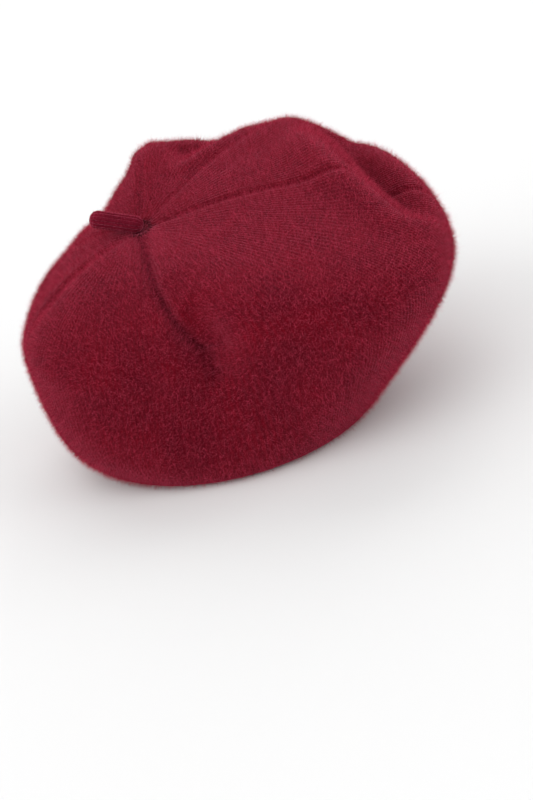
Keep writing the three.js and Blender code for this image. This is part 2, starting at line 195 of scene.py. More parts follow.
def press(azimuth, station, point):
    """How far the seams, folds and swells move the surface out (or in) at a point."""
    reach = plan_reach(azimuth, station)
    on_crown = 1 - smoothstep(station, 0.97, 1.1)
    above_rim = 1 - smoothstep(station, 1.12, 1.24)
    away_from_root = 1 - np.exp(-((reach / SEAM_START) ** 2))
    total = 0.0
    for number, (_, depth, width) in enumerate(SEAMS):
        distance = reach * np.abs(turn_from(azimuth, seam_azimuth(number, station)))
        total = total - depth * above_rim * away_from_root * np.exp(-((distance / width) ** 2))
    for start, via, end, width, height in FOLDS:
        total = total + height * on_crown * fold_weight(point, start, via, end, width)
    for centre, turn, middle, spread, height in SWELLS:
        across = turn_from(azimuth, math.radians(centre)) / math.radians(turn)
        total = total + height * np.exp(-(across**2) - ((station - middle) / spread) ** 2)
    return total


def fold_weight(point, start, via, end, width):
    """1 along a curved line in plan, fading to 0 beside it and towards its two ends."""
    steps = 14
    t = np.linspace(0, 1, steps)[:, None]
    line = (1 - t) ** 2 * np.array(start) + 2 * t * (1 - t) * np.array(via) + t**2 * np.array(end)
    best = np.full(point.shape[:-1], np.inf)
    where = np.zeros(point.shape[:-1])
    for i in range(steps - 1):
        a, b = line[i], line[i + 1]
        step = b - a
        share = np.clip(((point[..., :2] - a) @ step) / (step @ step), 0, 1)
        gap = np.hypot(*np.moveaxis(point[..., :2] - a - share[..., None] * step, -1, 0))
        nearer = gap < best
        best = np.where(nearer, gap, best)
        where = np.where(nearer, (i + share) / (steps - 1), where)
    return np.exp(-((best / width) ** 2)) * np.sin(np.pi * np.clip(where, 0.0, 1.0)) ** 0.7


def exact_point(azimuth, station):
    """The finished outer face of the knitted fabric, in millimetres."""
    point = base_point(azimuth, station)
    normal = outward_normal(base_point, azimuth, station)
    return point + normal * press(azimuth, station, point)[..., None]


# The finished face is worked out once on a fine grid and read from there, which is much quicker.
TABLE_TURNS, TABLE_STATIONS = 1080, 241
TABLE = exact_point(
    np.linspace(0, 2 * math.pi, TABLE_TURNS, endpoint=False)[:, None],
    np.linspace(0, 2, TABLE_STATIONS)[None, :],
)


def table_normals():
    """Unit normals of the tabulated face, facing out of the hat."""
    across = np.roll(TABLE, -1, 0) - np.roll(TABLE, 1, 0)
    along = np.gradient(TABLE, axis=1)
    across[:, 0] = across[:, 1]
    normal = np.cross(along, across)
    return normal / np.maximum(np.linalg.norm(normal, axis=-1, keepdims=True), 1e-9)


NORMALS = table_normals()


def spline_weights(t):
    """Shares of four neighbours in a Catmull-Rom reading between the middle two."""
    return [
        -0.5 * t + t**2 - 0.5 * t**3,
        1 - 2.5 * t**2 + 1.5 * t**3,
        0.5 * t + 2 * t**2 - 1.5 * t**3,
        -0.5 * t**2 + 0.5 * t**3,
    ]


def read_table(table, azimuth, station):
    """Smooth reading between the table's own points."""
    azimuth, station = np.broadcast_arrays(azimuth, station)
    turn = azimuth / (2 * math.pi) * TABLE_TURNS
    row = np.floor(turn).astype(int)
    place = np.clip(station / 2 * (TABLE_STATIONS - 1), 0, TABLE_STATIONS - 1)
    column = np.minimum(np.floor(place).astype(int), TABLE_STATIONS - 2)
    across = spline_weights(turn - row)
    along = spline_weights(place - column)
    total = 0.0
    for i in range(4):
        for j in range(4):
            spot = np.clip(column + j - 1, 0, TABLE_STATIONS - 1)
            value = table[(row + i - 1) % TABLE_TURNS, spot]
            total = total + value * (across[i] * along[j])[..., None]
    return total


def outer_point(azimuth, station):
    return read_table(TABLE, azimuth, station)


def outer_normal(azimuth, station):
    normal = read_table(NORMALS, azimuth, station)
    return normal / np.linalg.norm(normal, axis=-1, keepdims=True)


# ---- meshes ----


def grid_faces(rows, columns, wrap=False):
    """Quads of a grid numbered row by row; wrap joins the last row to the first."""
    row = np.arange(rows if wrap else rows - 1)[:, None]
    column = np.arange(columns - 1)[None, :]
    after = (row + 1) % rows
    quads = [row * columns + column, after * columns + column]
    quads += [after * columns + column + 1, row * columns + column + 1]
    return np.stack(quads, -1).reshape(-1, 4)


def new_mesh(name, points, faces, attributes=None, smooth=True):
    """New object from points in millimetres, with values per point for its material to read."""
    mesh = bpy.data.meshes.new(name)
    if isinstance(faces, np.ndarray):
        faces = faces.tolist()
    mesh.from_pydata((points * MM).tolist(), [], faces)
    for label, values in (attributes or {}).items():
        layer = mesh.attributes.new(label, "FLOAT", "POINT")
        layer.data.foreach_set("value", np.ascontiguousarray(values, dtype=np.float32))
    mesh.polygons.foreach_set("use_smooth", [smooth] * len(mesh.polygons))
    mesh.update()
    mesh.set_sharp_from_angle(angle=math.radians(55))
    obj = bpy.data.objects.new(name, mesh)
    bpy.context.scene.collection.objects.link(obj)
    return obj


def closed_sheet(name, front, back, attributes):
    """Closed sheet between two grids of points, each attribute the same on both."""
    number = np.arange(front.shape[0] * front.shape[1]).reshape(front.shape[:2])
    top = grid_faces(*number.shape)
    faces = [top, top[:, ::-1] + number.size]
    edges = [(number[:, 0], False), (number[:, -1], True), (number[0], True), (number[-1], False)]
    for edge, flip in edges:
        a, b = edge[:-1], edge[1:]
        strip = np.stack([b, a, a + number.size, b + number.size], -1)
        faces.append(strip[:, ::-1] if flip else strip)
    points = np.concatenate([front.reshape(-1, 3), back.reshape(-1, 3)])
    both = {label: np.tile(values.ravel(), 2) for label, values in attributes.items()}
    return new_mesh(name, points, np.concatenate(faces), both)


# ---- materials ----

BASE_WALES = 16
WALE_PITCH = 0.0023


def node(tree, kind, **settings):
    made = tree.nodes.new(kind)
    for key, value in settings.items():
        if key.startswith("in_"):
            made.inputs[key[3:].replace("_", " ")].default_value = value
        else:
            setattr(made, key, value)
    return made


def maths(tree, operation, *values):
    """A math node; each value is a number or the socket it is read from."""
    made = tree.nodes.new("ShaderNodeMath")
    made.operation = operation
    for index, value in enumerate(values):
        if isinstance(value, (int, float)):
            made.inputs[index].default_value = value
        else:
            tree.links.new(value, made.inputs[index])
    return made.outputs[0]


def mix_colour(tree, share, first, second):
    made = tree.nodes.new("ShaderNodeMix")
    made.data_type = "RGBA"
    for name, value in (("Factor", share), ("A", first), ("B", second)):
        sockets = [s for s in made.inputs if s.name == name and s.type in ("RGBA", "VALUE")]
        socket = sockets[-1] if name != "Factor" else sockets[0]
        if isinstance(value, (int, float, tuple)):
            socket.default_value = value
        else:
            tree.links.new(value, socket)
    return [s for s in made.outputs if s.type == "RGBA"][0]


def ramp(tree, value, low, high):
    made = node(tree, "ShaderNodeMapRange", in_From_Min=low, in_From_Max=high)
    tree.links.new(value, made.inputs["Value"])
    return made.outputs[0]


def noise(tree, scale, detail, roughness):
    coord = node(tree, "ShaderNodeTexCoord")
    made = node(tree, "ShaderNodeTexNoise", in_Scale=scale, in_Detail=detail, in_Roughness=roughness)
    tree.links.new(coord.outputs["Object"], made.inputs["Vector"])
    return made.outputs["Fac"]


def attribute(tree, name):
    return node(tree, "ShaderNodeAttribute", attribute_name=name).outputs["Fac"]


def cloth_shader(name, sheen, tint, sheen_roughness=0.5):
    """An empty material with a matt, fuzzy shader; returns it with its tree and shader."""
    material = bpy.data.materials.new(name)
    material.use_nodes = True
    tree = material.node_tree
    tree.nodes.clear()
    out = node(tree, "ShaderNodeOutputMaterial")
    shader = node(tree, "ShaderNodeBsdfPrincipled")
    shader.inputs["Roughness"].default_value = 1.0
    shader.inputs["Specular IOR Level"].default_value = 0.05
    shader.inputs["Sheen Weight"].default_value = sheen
    shader.inputs["Sheen Roughness"].default_value = sheen_roughness
    shader.inputs["Sheen Tint"].default_value = tint
    tree.links.new(shader.outputs[0], out.inputs[0])
    return material, tree, shader


def bumped(tree, shader, height, strength, distance):
    bump = node(tree, "ShaderNodeBump", in_Strength=strength, in_Distance=distance)
    tree.links.new(height, bump.inputs["Height"])
    tree.links.new(bump.outputs["Normal"], shader.inputs["Normal"])


def wale_height(tree):
    """Knitted wales that run out from the stalk; each splits in two when it grows too wide."""
    reach, turn = attribute(tree, "reach"), attribute(tree, "turn")
    wanted = maths(tree, "MULTIPLY", reach, 2 * math.pi / (WALE_PITCH * BASE_WALES))
    level = maths(tree, "MAXIMUM", maths(tree, "LOGARITHM", wanted, 2.0), 0.0)
    lower = maths(tree, "FLOOR", level)
    share = ramp(tree, maths(tree, "SUBTRACT", level, lower), 0.35, 0.65)
    count = maths(tree, "MULTIPLY", maths(tree, "POWER", 2.0, lower), BASE_WALES * 2 * math.pi)
    phase = maths(tree, "MULTIPLY", turn, count)
    coarse = maths(tree, "COSINE", phase)
    fine = maths(tree, "COSINE", maths(tree, "MULTIPLY", phase, 2.0))
    step = maths(tree, "MULTIPLY", maths(tree, "SUBTRACT", fine, coarse), share)
    wave = maths(tree, "ADD", coarse, step)
    return ramp(tree, wave, -1.0, 1.0)


def knit_material(name, deep, bright, dark, sheen):
    """Brushed knit: soft wales under matted fibre, with clouds of lighter and darker wool, and painted
    shade in the grooves between wales and along the seams.
    """
    material, tree, shader = cloth_shader(name, sheen, (1.0, 0.20, 0.32, 1), 0.35)
    wales = wale_height(tree)
    clouds = ramp(tree, noise(tree, 42.0, 4.0, 0.55), 0.35, 0.68)
    flecks = ramp(tree, noise(tree, 620.0, 3.0, 0.7), 0.3, 0.7)
    strands = ramp(tree, noise(tree, 1900.0, 2.0, 0.6), 0.3, 0.7)
    # the wales fade in and out where the nap is thicker
    bare = maths(tree, "MULTIPLY_ADD", ramp(tree, noise(tree, 30.0, 3.0, 0.5), 0.3, 0.7), 0.5, 0.35)
    lines = maths(tree, "MULTIPLY", maths(tree, "SUBTRACT", 1.0, wales), bare)
    wool = mix_colour(tree, clouds, deep, bright)
    wool = mix_colour(tree, maths(tree, "MULTIPLY", maths(tree, "SUBTRACT", 1.0, flecks), 0.45), wool, dark)
    # painted shade: the grooves between wales are darkened, where shade falls, as well as pressed in by the
    # bump
    wool = mix_colour(tree, maths(tree, "MULTIPLY", lines, 0.65), wool, dark)
    # painted shade: the wool darkens along the seam valleys, where shade falls, with a little for the
    # thinner nap there
    wool = mix_colour(tree, attribute(tree, "seam"), wool, dark)
    tree.links.new(wool, shader.inputs["Base Color"])
    matted = maths(tree, "MULTIPLY_ADD", strands, 0.35, maths(tree, "MULTIPLY", flecks, 0.8))
    height = maths(tree, "SUBTRACT", matted, maths(tree, "MULTIPLY", lines, 0.8))
    bumped(tree, shader, height, 0.7, 0.0006)
    return material


def thread_material(name, colour, dark):
    """Plied yarn: two twisted plies, with painted shade darkening the grooves between them."""
    material, tree, shader = cloth_shader(name, 0.4, (1.0, 0.4, 0.5, 1))
    twist = maths(tree, "SINE", maths(tree, "MULTIPLY", attribute(tree, "turn"), 2 * math.pi))
    ply = ramp(tree, twist, -1.0, 1.0)
    flecks = ramp(tree, noise(tree, 2500.0, 2.0, 0.6), 0.3, 0.7)
    tone = maths(tree, "MULTIPLY_ADD", flecks, 0.3, ply)
    # painted shade in the ply grooves: the colour follows the same twist as the bump
    tree.links.new(mix_colour(tree, tone, dark, colour), shader.inputs["Base Color"])
    bumped(tree, shader, ply, 0.5, 0.0002)
    return material


def tape_material(name, colour, shade, across, along, rough):
    """Woven tape: over-and-under threads, counted across ("turn") and along ("reach") in metres."""
    material, tree, shader = cloth_shader(name, 0.1, (1, 1, 1, 1))
    shader.inputs["Roughness"].default_value = rough
    shader.inputs["Specular IOR Level"].default_value = 0.35
    warp = maths(tree, "SINE", maths(tree, "MULTIPLY", attribute(tree, "turn"), 2 * math.pi / across))
    weft = maths(tree, "SINE", maths(tree, "MULTIPLY", attribute(tree, "reach"), 2 * math.pi / along))
    weave = ramp(tree, maths(tree, "MULTIPLY", warp, weft), -1.0, 1.0)
    grime = ramp(tree, noise(tree, 180.0, 3.0, 0.6), 0.3, 0.7)
    tone = maths(tree, "MULTIPLY_ADD", grime, 0.35, maths(tree, "MULTIPLY", weave, 0.65))
    tree.links.new(mix_colour(tree, tone, shade, colour), shader.inputs["Base Color"])
    bumped(tree, shader, weave, 0.4, 0.0001)
    return material


def fibre_material(name, colour):
    """One of the colours that single fibres have: a tone of the wool, lightened with painted light for the
    light that shines through thin fibres.
    """
    material, tree, shader = cloth_shader(name, 0.3, (1.0, 0.3, 0.4, 1), 0.6)
    shader.inputs["Base Color"].default_value = colour
    return material


WOOL = knit_material(
    "brushed_wool",
    deep=(0.150, 0.0028, 0.0120, 1),
    bright=(0.230, 0.0036, 0.0140, 1),
    dark=(0.050, 0.0015, 0.0055, 1),
    sheen=0.9,
)
FACING_WOOL = knit_material(
    "facing_wool",
    deep=(0.120, 0.0050, 0.0130, 1),
    bright=(0.160, 0.0060, 0.0160, 1),
    dark=(0.050, 0.0020, 0.0060, 1),
    sheen=0.25,
)
STALK_WOOL = knit_material(
    "stalk_wool",
    deep=(0.180, 0.0070, 0.0230, 1),
    bright=(0.260, 0.0100, 0.0330, 1),
    dark=(0.045, 0.0018, 0.0060, 1),
    sheen=0.8,
)
THREAD = thread_material("linking_thread", (0.095, 0.004, 0.012, 1), (0.040, 0.002, 0.006, 1))
ELASTIC = tape_material(
    "elastic_tape",
    colour=(0.045, 0.012, 0.016, 1),
    shade=(0.012, 0.004, 0.005, 1),
    across=0.0024,
    along=0.0016,
    rough=0.8,
)
LABEL = tape_material(
    "label_tape",
    colour=(0.76, 0.72, 0.63, 1),
    shade=(0.52, 0.48, 0.40, 1),
    across=0.0007,
    along=0.0007,
    rough=0.55,
)
# painted light: all three fibre colours are lighter than the knit under them, the lightest most of all, for
# light that shines through the fibres
FIBRES = [
    fibre_material("fibre_deep", (0.190, 0.0055, 0.0200, 1)),
    fibre_material("fibre_mid", (0.320, 0.0120, 0.0360, 1)),
    fibre_material("fibre_light_painted_glow", (0.620, 0.0500, 0.1080, 1)),
]

# ---- the crown gores ----

FABRIC = 2.4
GAP = 0.02
TIP_RADIUS = 0.4


def gore_span(number):
    """The azimuths of the two seams that a gore lies between, before the front one sways."""
    start = math.radians(SEAMS[number][0])
    end = math.radians(SEAMS[(number + 1) % len(SEAMS)][0])
    return start, end + (2 * math.pi if end < start else 0)


# How much painted shade darkens each seam's valley, deepest along the front seam; a little of it is the
# thinner nap there.
SEAM_PAINTED_SHADE = [0.95, 0.5, 0.3, 0.35, 0.35, 0.45]


def knit_marks(azimuth, station):
    """What the knit's material reads: turns about the root, metres from it, and the painted shade near a
    seam.
    """
    reach = plan_reach(azimuth, station)
    shade = 0.0
    for number, weight in enumerate(SEAM_PAINTED_SHADE):
        distance = reach * np.abs(turn_from(azimuth, seam_azimuth(number, station)))
        shade = shade + weight * np.exp(-((distance / 1.5) ** 2))
    shade = shade * (1 - smoothstep(station, 1.12, 1.22))
    return {"turn": azimuth / (2 * math.pi), "reach": reach * MM, "seam": np.minimum(shade, 1)}


def flat_size(outer):
    """Width, length and area in metres of a grid of points laid flat, rows across and columns down."""
    points = outer * MM
    across = np.linalg.norm(np.diff(points, axis=0), axis=-1)
    down = np.linalg.norm(np.diff(points, axis=1), axis=-1)
    area = (across[:, :-1] * down[:-1, :]).sum()
    return float(across.sum(0).max()), float(down.sum(1).max()), float(area)


def declare(obj, body, nodes):
    """The body that a piece rides on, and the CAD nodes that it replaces."""
    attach(obj, body)
    if nodes:
        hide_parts(*nodes)


def crown_gore(number, across=130, along=150):
    start, end = gore_span(number)
    share = np.linspace(0, 1, across)[:, None]
    row = np.linspace(0, 1, along)[None, :]
    middle = start + (end - start) * share
    tip = TIP_RADIUS / (3 * CENTRE_HANDLE * compass(RIM_REACH, middle))
    station = tip + (1 - tip) * row
    inset_start = np.minimum(GAP / plan_reach(start, station), 0.3)
    inset_end = np.minimum(GAP / plan_reach(end, station), 0.3)
    after = (number + 1) % len(SEAMS)
    start = start + seam_azimuth(number, station) - math.radians(SEAMS[number][0])
    end = end + seam_azimuth(after, station) - math.radians(SEAMS[after][0])
    azimuth = (start + inset_start) * (1 - share) + (end - inset_end) * share
    azimuth, station = np.broadcast_arrays(azimuth, station)
    outer = outer_point(azimuth, station)
    inner = outer - outer_normal(azimuth, station) * FABRIC
    obj = closed_sheet(f"crown_gore_{number + 1}_knit", outer, inner, knit_marks(azimuth, station))
    obj.data.materials.append(WOOL)
    declare(obj, CROWN, [f"crown_gore_{number + 1}"])


for number in range(len(SEAMS)):
    crown_gore(number)

# ---- the side, with its hem rolled under and the band that is turned up inside it ----

ROLL_RADIUS = 3.4
# The seam that closes the side lies under this one of the crown's.
SEAM_OVER_CLOSING = 3
CLOSING = math.radians(SEAMS[SEAM_OVER_CLOSING][0])


def hem_turn(azimuth):
    """Station where the hem starts to roll under, so that the roll just touches the floor."""
    low, high = np.full(azimuth.shape, 1.7), np.full(azimuth.shape, 1.995)
    for _ in range(24):
        middle = (low + high) / 2
        point = outer_point(azimuth, middle)
        lean = outer_normal(azimuth, middle)[..., 2]
        above = point[..., 2] > ROLL_RADIUS * (1 + lean)
        low, high = np.where(above, middle, low), np.where(above, high, middle)
    return low


def ring_mesh(name, sections, marks):
    """Closed ring through sections, given as an array of around x along x 3 points."""
    rows, columns = sections.shape[:2]
    faces = grid_faces(rows, columns, wrap=True)
    k = np.arange(rows)
    after = (k + 1) % rows
    last = columns - 1
    closing = np.stack([k * columns + last, after * columns + last, after * columns, k * columns], -1)
    faces = np.concatenate([faces, closing])
    return new_mesh(name, sections.reshape(-1, 3), faces, {key: v.ravel() for key, v in marks.items()})


def side_panel(around=640, along=85):
    azimuth = np.linspace(CLOSING, CLOSING + 2 * math.pi, around, endpoint=False)[:, None]
    turn_at = hem_turn(azimuth)
    station = 1 + (turn_at - 1) * np.linspace(0, 1, along)[None, :]
    azimuth, station = np.broadcast_arrays(azimuth, station)
    outer = outer_point(azimuth, station)
    normal = outer_normal(azimuth, station)
    inner = outer - normal * FABRIC
    # the roll: half a turn inward from the last row, about a line inside the fabric
    last_normal = normal[:, -1:]
    down = outer[:, -1:] - outer[:, -2:-1]
    down = down / np.linalg.norm(down, axis=-1, keepdims=True)
    centre = outer[:, -1:] - last_normal * ROLL_RADIUS
    angle = np.linspace(0, math.pi, 17)[None, 1:, None]
    spoke = last_normal * np.cos(angle) + down * np.sin(angle)
    outside = centre + spoke * ROLL_RADIUS
    inside = centre + spoke * (ROLL_RADIUS - FABRIC)
    sections = np.concatenate([outer, outside, inside[:, ::-2], inner[:, ::-2]], 1)
    steps = sections.shape[1]
    reach = plan_reach(azimuth[:, :1], station[:, :1])
    marks = {
        "turn": np.broadcast_to(azimuth[:, :1] / (2 * math.pi), (around, steps)),
        "reach": np.broadcast_to(reach * MM, (around, steps)),
    }
    obj = ring_mesh("side_panel_knit", sections, marks)
    obj.data.materials.append(WOOL)
    declare(obj, CROWN, ["side_panel"])


side_panel()


def side_station(azimuth, height):
    """Station on the side at a height above the hem plane."""
    low, high = np.full(azimuth.shape, 1.0), np.full(azimuth.shape, 2.0)
    for _ in range(20):
        middle = (low + high) / 2
        above = outer_point(azimuth, middle)[..., 2] > height
        low, high = np.where(above, middle, low), np.where(above, high, middle)
    return high


def layer(azimuth, height, depth):
    """Points inside the side at a height and a depth under its outer face."""
    azimuth, height = np.broadcast_arrays(azimuth, height)
    station = side_station(azimuth, height)
    normal = outer_normal(azimuth, station)
    return outer_point(azimuth, station) - normal * np.asarray(depth)[..., None]


def band(name, heights, outer, inner, material, woven, ripple=0.0):
    """Ring inside the hem between two depths, rounded at both edges; returns its flat size too."""
    azimuth = np.linspace(0, 2 * math.pi, 600, endpoint=False)[:, None]
    heights = np.asarray(heights)[None, :]
    edge = np.sin(np.linspace(0, math.pi, heights.shape[1])) ** 0.35
    middle, half = (outer + inner) / 2, (inner - outer) / 2 * edge[None, :]
    wave = ripple * np.sin(azimuth * 70)
    front = layer(azimuth, heights, middle + half + wave)
    back = layer(azimuth, heights, middle - half)
    sections = np.concatenate([back, front[:, ::-1]], 1)
    turn = azimuth / (2 * math.pi)
    if woven:
        length = np.linalg.norm(np.diff(front[:, 0], axis=0), axis=-1).sum()
        turn = turn * length * MM
        reach = np.concatenate([heights, heights[:, ::-1]], 1) * MM
    else:
        reach = plan_reach(azimuth, 1.0) * MM
    shape = sections.shape[:2]
    marks = {"turn": np.broadcast_to(turn, shape), "reach": np.broadcast_to(reach, shape)}
    obj = ring_mesh(name, sections, marks)
    obj.data.materials.append(material)
    return obj, flat_size(front)


facing, facing_size = band(
    "headband_facing_knit", np.linspace(28.5, 3.2, 22), 4.7, 7.0, FACING_WOOL, False, ripple=0.15
)
declare(facing, CROWN, ["headband_facing"])
elastic, elastic_size = band(
    "headband_elastic_tape", np.linspace(14, 6, 12), 3.1, 4.4, ELASTIC, True
)
declare(elastic, CROWN, ["headband_elastic"])

# ---- threads ----


def yarn(name, path, radius, nodes, sides=8, pitch=0.0022, closed=False):
    """Plied yarn of a radius along a list of points, capped at its ends."""
    ahead = np.roll(path, -1, 0) - np.roll(path, 1, 0) if closed else np.gradient(path, axis=0)
    ahead = ahead / np.linalg.norm(ahead, axis=-1, keepdims=True)
    side = np.cross(ahead, [0.31, 0.22, 0.92])
    side = side / np.linalg.norm(side, axis=-1, keepdims=True)
    up = np.cross(side, ahead)
    angle = np.linspace(0, 2 * math.pi, sides, endpoint=False)[None, :, None]
    rings = path[:, None] + radius * (side[:, None] * np.cos(angle) + up[:, None] * np.sin(angle))
    count = len(path)
    steps = np.linalg.norm(np.diff(path, axis=0), axis=-1)
    run = np.concatenate([[0], np.cumsum(steps)]) * MM / pitch
    turn = run[:, None] + np.linspace(0, 2, sides, endpoint=False)[None, :]
    i = np.arange(count if closed else count - 1)[:, None]
    k = np.arange(sides)[None, :]
    n, m = (i + 1) % count, (k + 1) % sides
    quads = np.stack([i * sides + m, n * sides + m, n * sides + k, i * sides + k], -1)
    faces = quads.reshape(-1, 4).tolist()
    if not closed:
        faces.append(list(range(sides)))
        faces.append([(count - 1) * sides + s for s in range(sides - 1, -1, -1)])
    obj = new_mesh(name, rings.reshape(-1, 3), faces, {"turn": turn.ravel()})
    obj.data.materials.append(THREAD)
    declare(obj, CROWN, nodes)


def surface_layer(azimuth, station, depth):
    """Points at a depth under the outer face."""
    normal = outer_normal(azimuth, station)
    return outer_point(azimuth, station) - normal * np.asarray(depth)[..., None]


def whip_stitches(name, azimuth_at, first, last, spacing, depth, nodes):
    """Stitches that cross back and forth over a seam, seen on the inside of the fabric."""
    rough = np.linspace(first, last, 60)
    line = outer_point(azimuth_at(rough), rough)
    length = np.linalg.norm(np.diff(line, axis=0), axis=-1).sum()
    stitches = int(length / spacing)
    phase = np.linspace(0, stitches, stitches * 8 + 1)
    station = first + (last - first) * phase / stitches
    azimuth = azimuth_at(station)
    reach = np.maximum(plan_reach(azimuth, station), 6)
    sway = 1.3 * np.cos(2 * math.pi * phase)
    path = surface_layer(azimuth + sway / reach, station, depth + 0.55 * np.sin(2 * math.pi * phase))
    yarn(name, path, 0.5, nodes)


for number in range(len(SEAMS)):
    label = f"gore_seam_thread_{number + 1}"
    seam = partial(seam_azimuth, number)
    whip_stitches(f"{label}_stitches", seam, 0.09, 0.97, 3.0, 3.5, [label])
seam = partial(seam_azimuth, SEAM_OVER_CLOSING)
whip_stitches("closing_seam_thread_stitches", seam, 1.01, 1.5, 3.0, 3.5, ["closing_seam_thread"])


def hem_linking():
    """The thread that winds along the top of the facing and holds it to the side."""
    turns = 190
    phase = np.linspace(0, turns, turns * 8, endpoint=False)
    azimuth = phase / turns * 2 * math.pi
    height = 29.0 + 1.1 * np.cos(2 * math.pi * phase)
    path = layer(azimuth, height, 5.0 + 1.7 * np.sin(2 * math.pi * phase))
    yarn("hem_linking_thread_stitches", path, 0.45, ["hem_linking_thread"], closed=True)


hem_linking()

# ---- the stalk ----

STALK_RADIUS, STALK_LENGTH = 5.2, 27.0
STALK_PIVOT = ROOT + np.array([-1.5, 0, STALK_RADIUS - 0.8])
STALK_LEAN = np.array([-25.3, 8.0, 10.2])
STALK_LEAN = STALK_LEAN / np.linalg.norm(STALK_LEAN)
STALK_ACROSS = np.cross(STALK_LEAN, [0, 0, 1.0])
STALK_ACROSS = STALK_ACROSS / np.linalg.norm(STALK_ACROSS)
STALK_UP = np.cross(STALK_ACROSS, STALK_LEAN)
STALK_WALES = 12
STALK_COURSES = 15


def stalk_radius(along):
    """Radius of the stalk at a distance along it: a waist near the root and a soft domed tip."""
    body = STALK_RADIUS * (1.0 - 0.05 * np.sin(math.pi * np.clip(along / STALK_LENGTH, 0, 1)))
    root = np.sqrt(np.clip(1 - (np.clip(-along, 0, STALK_RADIUS) / STALK_RADIUS) ** 2, 0, 1))
    past = np.clip(along - (STALK_LENGTH - STALK_RADIUS), 0, STALK_RADIUS) / STALK_RADIUS
    return body * root * np.sqrt(np.clip(1 - past**2, 0, 1))


def stalk_point(angle, along, lift=0.0):
    """Point of the stalk's knitted face; wales stand out and dip between their stitches."""
    wale = np.abs(np.cos(angle * STALK_WALES / 2))
    course = np.sin(along / STALK_LENGTH * STALK_COURSES * 2 * math.pi + 2.2 * wale)
    relief = 0.72 * wale**0.7 - 0.42 + 0.17 * course * wale
    radius = np.maximum(stalk_radius(along) + (relief + lift) * (stalk_radius(along) > 1.5), 0.02)
    sag = -0.9 * np.clip(along / STALK_LENGTH, 0, 1) ** 2
    centre = STALK_PIVOT + along[..., None] * STALK_LEAN + sag[..., None] * STALK_UP
    spoke = np.cos(angle)[..., None] * STALK_ACROSS + np.sin(angle)[..., None] * STALK_UP
    return centre + radius[..., None] * spoke


def stalk():
    """The knitted tube, closed at both ends, with its rows closer together at the tip and root."""
    around, rows = 144, 150
    angle = np.linspace(0, 2 * math.pi, around, endpoint=False)[:, None]
    bend = np.linspace(0, math.pi, rows)[None, :]
    middle, half = (STALK_LENGTH - STALK_RADIUS) / 2, (STALK_LENGTH + STALK_RADIUS) / 2
    along = middle - half * np.cos(bend) * 0.9995
    angle, along = np.broadcast_arrays(angle, along)
    points = stalk_point(angle, along)
    faces = grid_faces(around, rows, wrap=True)[:, ::-1].tolist()
    faces.append([row * rows for row in range(around)][::-1])
    faces.append([row * rows + rows - 1 for row in range(around)])
    marks = {"turn": angle.ravel() / (2 * math.pi), "reach": np.full(angle.size, 0.006)}
    obj = new_mesh("stalk_knit", points.reshape(-1, 3), faces, marks)
    obj.data.materials.append(STALK_WOOL)
    declare(obj, STALK_BODY, ["stalk"])


stalk()

# ---- the threads at the stalk's root ----


def root_stitches():
    """Stitches in and out round the stalk, left open on the side that it leans to."""
    opening = math.atan2(STALK_LEAN[1], STALK_LEAN[0])
    phase = np.linspace(0, 1, 140)
    wave = phase * 2 * math.pi * 13
    azimuth = opening + math.radians(50) + phase * math.radians(260)
    reach = 6.9 + 0.8 * np.sin(wave)
    station = reach / (3 * CENTRE_HANDLE * compass(RIM_REACH, azimuth))
    path = surface_layer(azimuth, station, -0.25 + 0.75 * np.cos(wave))
    yarn("stalk_root_stitches_yarn", path, 0.35, ["stalk_root_stitches"])


def gathering_thread():
    """The ring of thread that draws the gore tips together inside the crown."""
    turn = np.linspace(0, 2 * math.pi, 200, endpoint=False)
    reach = 7.0 + 0.5 * np.sin(turn * 12)
    height = -6.2 + 0.5 * np.cos(turn * 12)
    path = ROOT + np.stack([reach * np.cos(turn), reach * np.sin(turn), height], -1)
    yarn("tip_gathering_thread_yarn", path, 0.55, ["tip_gathering_thread"], closed=True)


def yarn_tail_knot():
    """The end of the yarn, tied in a trefoil knot."""
    turn = np.linspace(0, 2 * math.pi, 200, endpoint=False)
    reach = 1.5 * (2 + np.cos(3 * turn)) / 1.6
    height = -8.1 + 1.3 * np.sin(3 * turn)
    path = ROOT + np.stack([reach * np.cos(2 * turn) * 0.7, reach * np.sin(2 * turn) * 0.7, height], -1)
    yarn("yarn_tail_knot_yarn", path, 0.6, ["yarn_tail_knot"], closed=True)


root_stitches()
gathering_thread()
yarn_tail_knot()

# ---- labels ----


def tape(name, front, thickness, normals, across, along, nodes, body):
    """Thin woven tape behind a grid of points, closed on every edge."""
    marks = {"turn": across * MM, "reach": along * MM}
    obj = closed_sheet(name, front, front - normals * thickness, marks)
    obj.data.materials.append(LABEL)
    declare(obj, body, nodes)


MAKER_AZIMUTH, MAKER_HALF_ANGLE = CLOSING, math.radians(14)
MAKER_TOP, MAKER_LOW, MAKER_DEPTH = 24.0, 9.0, 8.1
BAND_RADIUS = 85.0


def maker_label():
    """The blank label across the back of the band, a little rippled and pulled down at its ends."""
    share = np.linspace(-1, 1, 60)
    azimuth = (MAKER_AZIMUTH + MAKER_HALF_ANGLE * share)[:, None]
    height = np.linspace(MAKER_TOP, MAKER_LOW, 24)[None, :]
    azimuth, height = np.broadcast_arrays(azimuth, height)
    sewn_end = np.maximum(np.abs(share) - 0.94, 0)[:, None] * 8
    ripple = 0.15 * np.sin(azimuth * 31) * np.sin(height * 0.7)
    front = layer(azimuth, height, MAKER_DEPTH - sewn_end + ripple)
    inward = -outer_normal(azimuth, side_station(azimuth, height))
    across = azimuth * BAND_RADIUS
    tape("maker_label_tape", front, 0.45, inward, across, height, ["maker_label"], CROWN)


